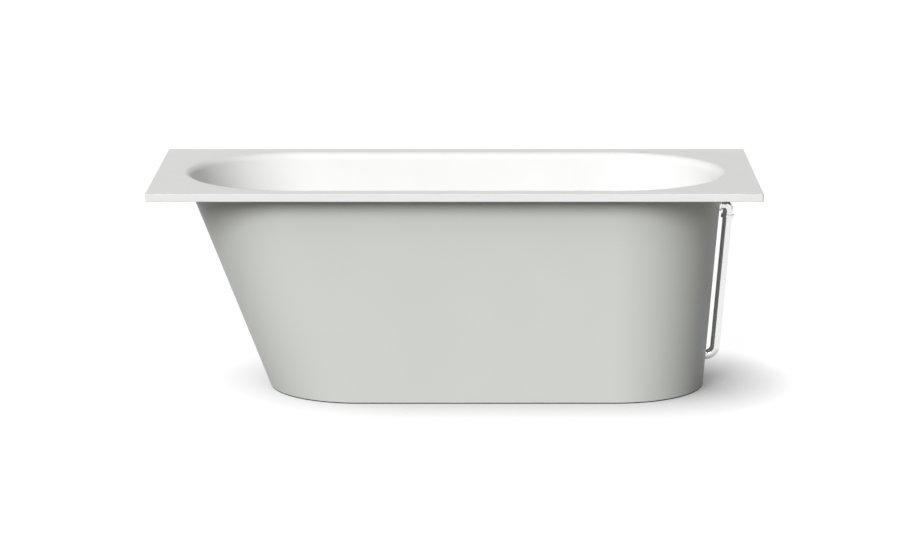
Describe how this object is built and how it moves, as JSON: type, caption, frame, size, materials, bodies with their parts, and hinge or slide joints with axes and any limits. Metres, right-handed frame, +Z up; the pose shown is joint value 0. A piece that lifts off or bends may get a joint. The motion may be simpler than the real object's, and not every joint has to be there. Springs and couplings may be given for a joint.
{
  "type": "bathtub",
  "caption": "Bath with a flat rectangular rim, an oval basin with a sloping backrest, a coloured skirt all round, a push plug and a chrome overflow pipe outside.",
  "frame": {"origin": "on the floor, under the middle of the rectangular rim", "axes": "+X towards the foot end with the waste and overflow, -Y to the front, +Z up"},
  "size_m": [1.7, 0.75, 0.62],
  "materials": {
    "acrylic_white": "gloss",
    "skirt_sage": "satin",
    "rubber_black": "matt",
    "rubber_grey": "matt",
    "plywood": "sealed",
    "zinc_steel": "zinc plated",
    "rail_steel": "powder coat",
    "pad_plastic": "matt",
    "packer_foam": "matt",
    "chrome": "polished",
    "brass": "machined",
    "fitting_plastic": "moulded",
    "spring_steel": "bright"
  },
  "bodies": {
    "tub": {"base_board": "plywood", "cradle_rail_foot": "rail_steel", "cradle_rail_head": "rail_steel", "foot_nuts": "zinc_steel", "middle_foot_plate": "zinc_steel", "overflow_cover": "chrome", "overflow_elbow": "chrome", "overflow_gasket": "rubber_grey", "overflow_grid": "brass", "overflow_nut": "chrome", "overflow_pipe": "chrome", "overflow_ring": "rubber_black", "overflow_rosette": "chrome", "overflow_screw": "chrome", "overflow_spacer": "rubber_grey", "pipe_grommet": "rubber_black", "plate_screws": "zinc_steel", "plug_cartridge": "fitting_plastic", "plug_spring": "spring_steel", "rail_screws": "zinc_steel", "rim_frame": "plywood", "skirt_packers": "packer_foam", "skirt_panel": "skirt_sage", "skirt_screws": "zinc_steel", "skirt_seal": "rubber_black", "tail_nut": "fitting_plastic", "tail_ring": "rubber_grey", "tee_port_nut": "fitting_plastic", "tee_port_ring": "rubber_grey", "tee_top_nut": "fitting_plastic", "tee_top_ring": "rubber_grey", "tub_shell": "acrylic_white", "waste_back_nut": "brass", "waste_flange": "chrome", "waste_lower_seal": "rubber_grey", "waste_tail": "fitting_plastic", "waste_tee": "fitting_plastic", "waste_upper_seal": "rubber_black", "waste_washer": "fitting_plastic"},
    "plug": {"plug_cap": "chrome", "plug_seal": "rubber_black", "plug_stem": "brass"},
    "foot_head_front": {"foot_stud_head_front": "zinc_steel", "foot_pad_head_front": "pad_plastic"},
    "foot_head_back": {"foot_stud_head_back": "zinc_steel", "foot_pad_head_back": "pad_plastic"},
    "foot_foot_front": {"foot_stud_foot_front": "zinc_steel", "foot_pad_foot_front": "pad_plastic"},
    "foot_foot_back": {"foot_stud_foot_back": "zinc_steel", "foot_pad_foot_back": "pad_plastic"},
    "foot_middle": {"foot_stud_middle": "zinc_steel", "foot_pad_middle": "pad_plastic"}
  },
  "joints": [
    {"name": "plug_push", "type": "slide", "parent": "tub", "child": "plug", "axis": [0, 0, 1], "range_m": [0, 0.009], "deforming": ["plug_spring"]},
    {"name": "foot_screw_head_front", "type": "slide", "parent": "tub", "child": "foot_head_front", "axis": [0, 0, -1], "range_m": [-0.006, 0.015]},
    {"name": "foot_screw_head_back", "type": "slide", "parent": "tub", "child": "foot_head_back", "axis": [0, 0, -1], "range_m": [-0.006, 0.015]},
    {"name": "foot_screw_foot_front", "type": "slide", "parent": "tub", "child": "foot_foot_front", "axis": [0, 0, -1], "range_m": [-0.006, 0.015]},
    {"name": "foot_screw_foot_back", "type": "slide", "parent": "tub", "child": "foot_foot_back", "axis": [0, 0, -1], "range_m": [-0.006, 0.015]},
    {"name": "foot_screw_middle", "type": "slide", "parent": "tub", "child": "foot_middle", "axis": [0, 0, -1], "range_m": [-0.006, 0.015]}
  ]
}
